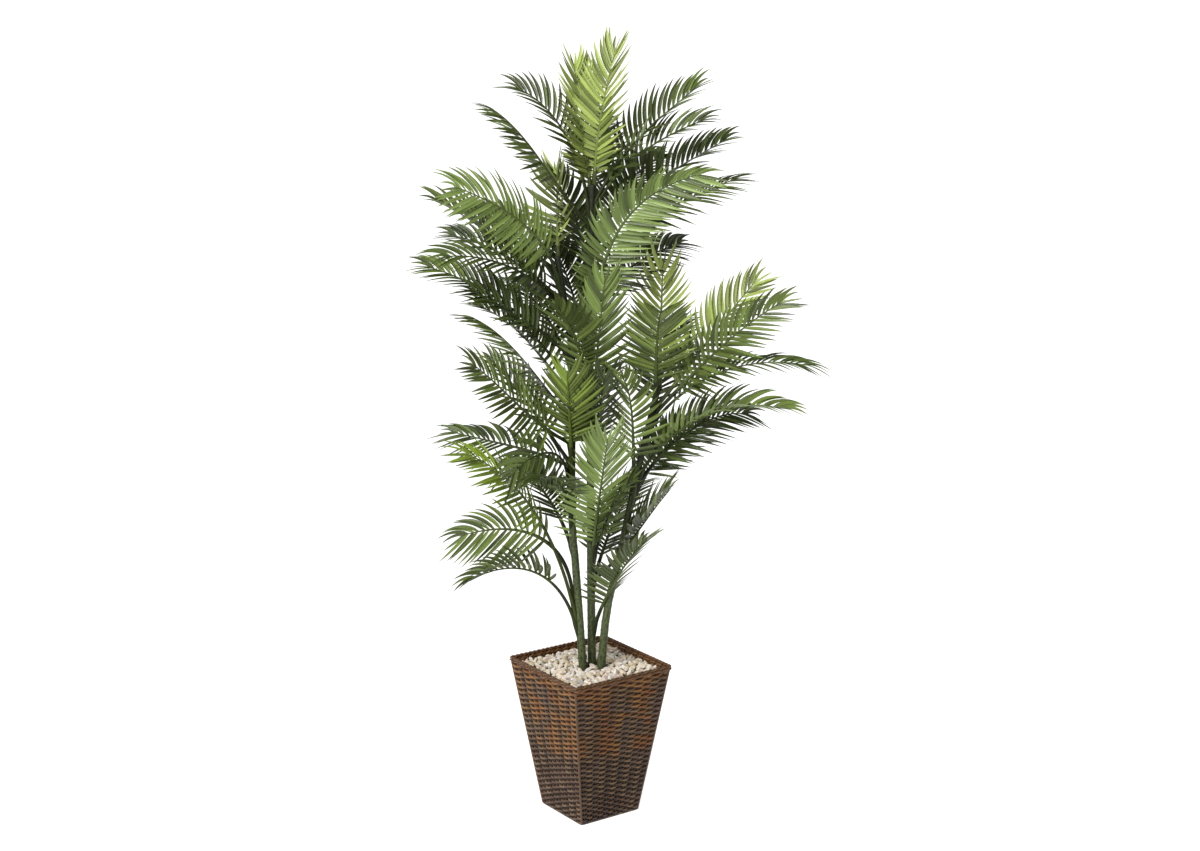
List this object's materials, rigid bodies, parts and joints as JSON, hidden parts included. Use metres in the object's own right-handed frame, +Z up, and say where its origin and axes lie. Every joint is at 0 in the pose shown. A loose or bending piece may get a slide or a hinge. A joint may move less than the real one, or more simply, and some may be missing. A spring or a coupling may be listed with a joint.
{
  "type": "potted artificial feather palm",
  "caption": "Tall artificial feather palm: three slender stems with arching fronds of narrow leaflets, standing in a pebble-topped, tapered square woven pot.",
  "frame": {"origin": "centre of the flat underside of the pot, on the floor that the plant stands on", "axes": "+Z up along the stems, X and Y square to the pot's sides; the plant's broad front faces the pot's corner between -X and -Y, turned 35 degrees from -Y"},
  "size_m": [0.9412, 0.8682, 2.1322],
  "materials": {
    "wicker": "woven rattan strands in honey brown above and grey-purple brown below, satin",
    "pebbles": "loose angular gravel, cream, white and pinkish, matt",
    "stem": "dark green moulded plastic with ringed joints",
    "frond_light": "young yellow-green fabric leaflets on moulded ribs",
    "frond_pale": "pale green fabric leaflets with a soft gloss",
    "frond_bright": "bright green fabric leaflets",
    "frond_mid": "mid green fabric leaflets with a soft gloss",
    "frond_dark": "dark green fabric leaflets"
  },
  "bodies": {
    "root": {"basket": "wicker", "pebble_bed": "pebbles", "stem_left": "stem", "stem_centre": "stem", "stem_right": "stem", "frond_top": "frond_light", "frond_top_back": "frond_light", "frond_upper_left_a": "frond_mid", "frond_upper_left_b": "frond_mid", "frond_upper_right_a": "frond_mid", "frond_upper_right_b": "frond_mid", "frond_upper_right_c": "frond_mid", "frond_upper_right_d": "frond_mid", "frond_left_top": "frond_light", "frond_left_front": "frond_pale", "frond_left_a": "frond_mid", "frond_left_b": "frond_dark", "frond_left_c": "frond_dark", "frond_left_d": "frond_mid", "frond_left_e": "frond_dark", "frond_left_f": "frond_mid", "frond_left_g": "frond_mid", "frond_left_h": "frond_mid", "frond_left_i": "frond_mid", "frond_low_left_a": "frond_dark", "frond_low_left_b": "frond_bright", "frond_low_left_c": "frond_dark", "frond_low_left_d": "frond_mid", "frond_low_left_e": "frond_mid", "frond_front_high": "frond_pale", "frond_front_mid": "frond_pale", "frond_front_mid_left": "frond_mid", "frond_right_top": "frond_light", "frond_right_front": "frond_mid", "frond_right_a": "frond_light", "frond_right_b": "frond_mid", "frond_right_c": "frond_dark", "frond_right_d": "frond_mid", "frond_right_e": "frond_dark", "frond_right_f": "frond_mid", "frond_low_front": "frond_pale", "frond_low_right_a": "frond_mid", "frond_low_right_b": "frond_mid", "frond_low_right_c": "frond_dark", "frond_front_left_low": "frond_bright", "frond_front_centre_low": "frond_dark", "frond_front_low_left": "frond_dark", "frond_back_left_upper": "frond_dark", "frond_back_centre_upper": "frond_dark", "frond_back_right_upper": "frond_dark", "frond_back_left_high": "frond_mid", "frond_back_right_high": "frond_mid", "frond_back_right_low": "frond_mid", "frond_back_top": "frond_mid", "frond_back_high": "frond_dark", "frond_back_left_mid": "frond_dark", "frond_back_right_mid": "frond_dark", "frond_back_low_mid": "frond_dark", "frond_back_low_left": "frond_mid", "frond_back_low_right": "frond_mid"}
  },
  "joints": []
}
